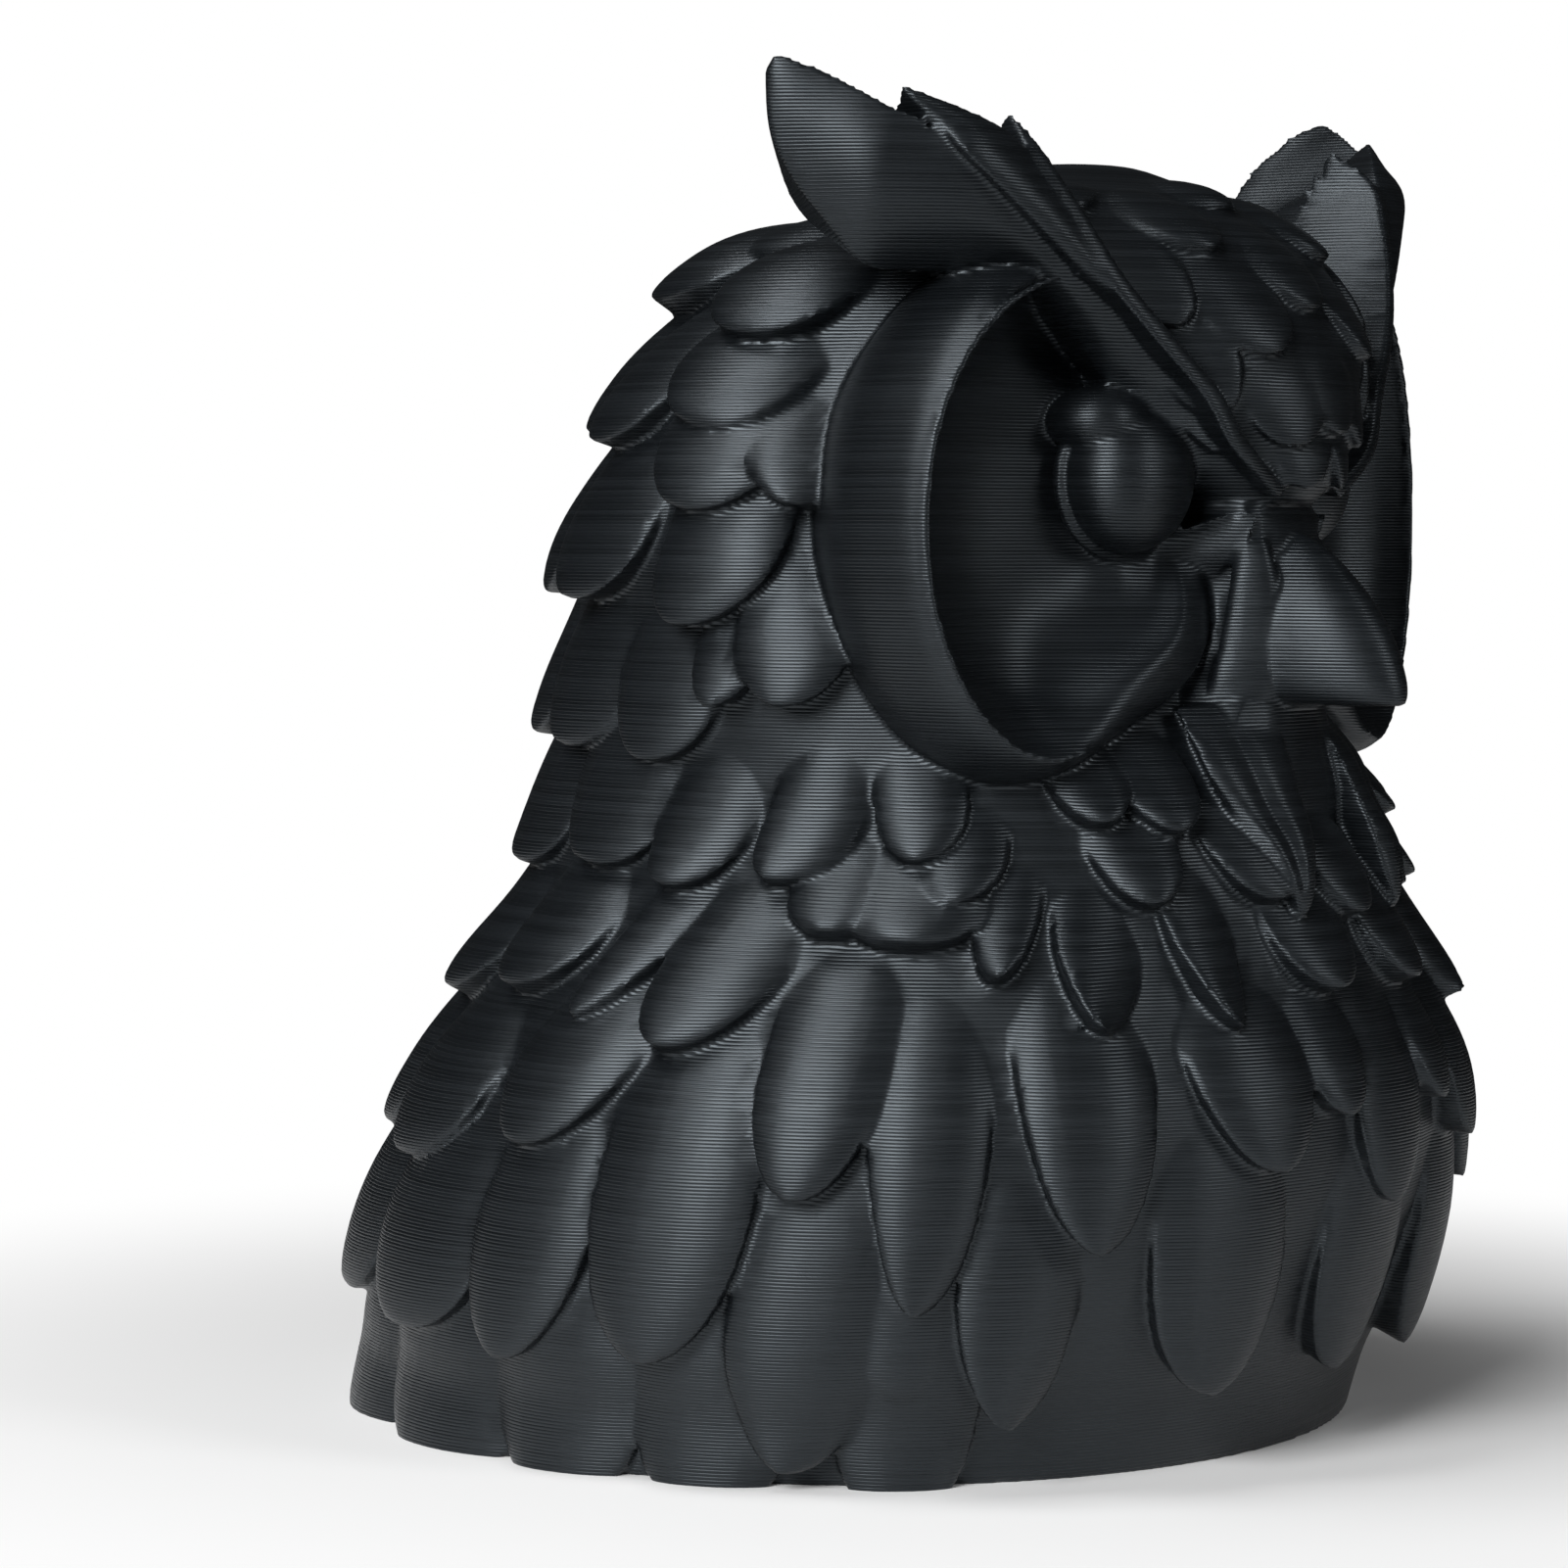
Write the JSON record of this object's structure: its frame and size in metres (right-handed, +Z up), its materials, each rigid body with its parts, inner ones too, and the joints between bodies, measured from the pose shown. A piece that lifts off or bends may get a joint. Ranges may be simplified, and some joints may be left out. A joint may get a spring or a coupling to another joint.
{
  "type": "hitch ball cover",
  "caption": "Black printed cover for a trailer hitch ball, a feathered horned owl bust with a blind round socket in its base.",
  "frame": {"origin": "centre of the ball socket's mouth, on the base plane", "axes": "+Z up along the socket's axis, -Y the way the beak points"},
  "size_m": [0.1032, 0.1076, 0.122],
  "materials": {
    "black_plastic": "satin"
  },
  "bodies": {
    "root": {"owl_cover": "black_plastic"}
  },
  "joints": []
}
